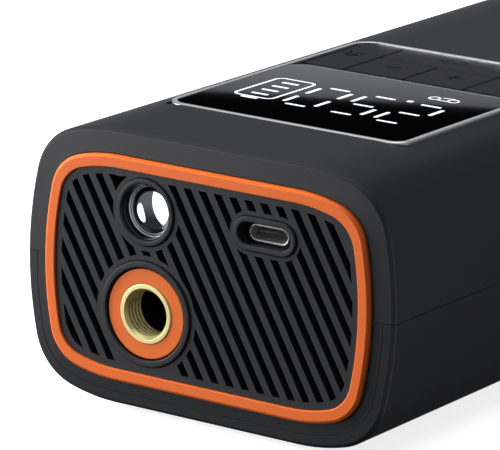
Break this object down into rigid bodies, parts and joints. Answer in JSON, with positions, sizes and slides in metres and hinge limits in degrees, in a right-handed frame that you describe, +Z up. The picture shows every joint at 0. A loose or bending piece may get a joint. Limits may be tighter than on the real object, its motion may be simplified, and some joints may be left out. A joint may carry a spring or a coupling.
{
  "type": "jump starter pack",
  "caption": "Hand-held jump starter with a built-in tyre inflator: rounded box body, ringed end grille with lamp, charging port and threaded brass air outlet, display and keypad on top.",
  "frame": {"origin": "middle of the footprint, on the surface that the feet stand on", "axes": "+X across the body, +Y from the air outlet end to the rear end, +Z up"},
  "size_m": [0.084, 0.2001, 0.0554],
  "materials": {
    "shell": "fine-textured dark plastic, satin",
    "accent": "orange plastic, satin",
    "grille": "dark grey plastic, fine texture",
    "barrel": "polished black plastic",
    "lens": "clear moulded lens over a bright reflector",
    "board": "green circuit board",
    "port_metal": "bright nickel-plated shell",
    "brass": "turned pale brass",
    "washer": "orange rubber, matt",
    "frame_silver": "thin polished edge",
    "screen": "black polished window",
    "display": "black segment display block",
    "key": "dark soft-touch plastic",
    "steel": "plain steel",
    "rotor": "steel core with copper windings",
    "dark_plastic": "moulded dark plastic",
    "gear": "acetal, off-white",
    "alloy": "cast and machined alloy",
    "hose": "black rubber hose",
    "sensor": "pale plastic sensor",
    "pouch": "foil pouch",
    "strap": "woven strap",
    "capacitor": "sleeved can",
    "socket": "blue heat-resistant plastic",
    "cover": "soft black rubber",
    "foot": "black rubber"
  },
  "bodies": {
    "housing": {"upper_shell": "shell", "lower_shell": "shell", "front_ring": "accent", "rear_ring": "accent", "front_grille": "grille", "rear_panel": "grille", "lamp_barrel": "barrel", "lamp_lens": "lens", "lamp_board": "board", "usb_c_port": "port_metal", "usb_board": "board", "air_nozzle": "brass", "nozzle_washer": "washer", "panel_frame": "frame_silver", "display_glass": "screen", "display_module": "display", "panel_board": "board", "pump_frame": "steel", "motor_can": "steel", "gear_axle": "steel", "pump_cylinder": "alloy", "cylinder_head": "alloy", "air_hose": "hose", "pressure_sensor": "sensor", "battery_tray": "dark_plastic", "cell_1": "pouch", "cell_2": "pouch", "cell_3": "pouch", "cell_4": "pouch", "battery_strap": "strap", "main_board": "board", "heat_sink": "alloy", "capacitor_1": "capacitor", "capacitor_2": "capacitor", "capacitor_3": "capacitor", "jump_socket": "socket", "jump_contact_1": "brass", "jump_contact_2": "brass", "cover_pin": "steel", "usb_a_port": "port_metal", "shell_screw_1": "steel", "shell_screw_2": "steel", "shell_screw_3": "steel", "shell_screw_4": "steel", "foot_1": "foot", "foot_2": "foot", "foot_3": "foot", "foot_4": "foot"},
    "rotor": {"motor_rotor": "rotor", "motor_pinion": "brass", "cooling_fan": "dark_plastic"},
    "crank": {"crank_gear": "gear"},
    "piston": {"piston_rod": "alloy"},
    "cover": {"socket_cover": "cover"},
    "light_button": {"light_key": "key"},
    "minus_button": {"minus_key": "key"},
    "plus_button": {"plus_key": "key"},
    "mode_button": {"mode_key": "key"},
    "power_button": {"power_key": "key"}
  },
  "joints": [
    {"name": "light_press", "type": "slide", "parent": "housing", "child": "light_button", "axis": [0, 0, -1], "range_m": [0, 0.0006], "stiffness_N_per_m": 900, "springref_m": -0.0005},
    {"name": "minus_press", "type": "slide", "parent": "housing", "child": "minus_button", "axis": [0, 0, -1], "range_m": [0, 0.0006], "stiffness_N_per_m": 900, "springref_m": -0.0005},
    {"name": "plus_press", "type": "slide", "parent": "housing", "child": "plus_button", "axis": [0, 0, -1], "range_m": [0, 0.0006], "stiffness_N_per_m": 900, "springref_m": -0.0005},
    {"name": "mode_press", "type": "slide", "parent": "housing", "child": "mode_button", "axis": [0, 0, -1], "range_m": [0, 0.0006], "stiffness_N_per_m": 900, "springref_m": -0.0005},
    {"name": "power_press", "type": "slide", "parent": "housing", "child": "power_button", "axis": [0, 0, -1], "range_m": [0, 0.0006], "stiffness_N_per_m": 900, "springref_m": -0.0005},
    {"name": "rotor_spin", "type": "hinge", "parent": "housing", "child": "rotor", "pos_m": [0.0108, -0.0202, 0.02], "axis": [0, 0, 1], "continuous": true},
    {"name": "crank_spin", "type": "hinge", "parent": "housing", "child": "crank", "pos_m": [-0.0132, -0.0202, 0.01], "axis": [0, 0, 1], "continuous": true},
    {"name": "piston_stroke", "type": "slide", "parent": "housing", "child": "piston", "axis": [0, 1, 0], "range_m": [0, 0.011]},
    {"name": "cover_hinge", "type": "hinge", "parent": "housing", "child": "cover", "pos_m": [-0.011, 0.0988, 0.03835], "axis": [1, 0, 0], "range_deg": [0, 100]}
  ],
  "couplings": [
    {"joint": "crank_spin", "follows": "rotor_spin", "ratio": -0.2}
  ]
}
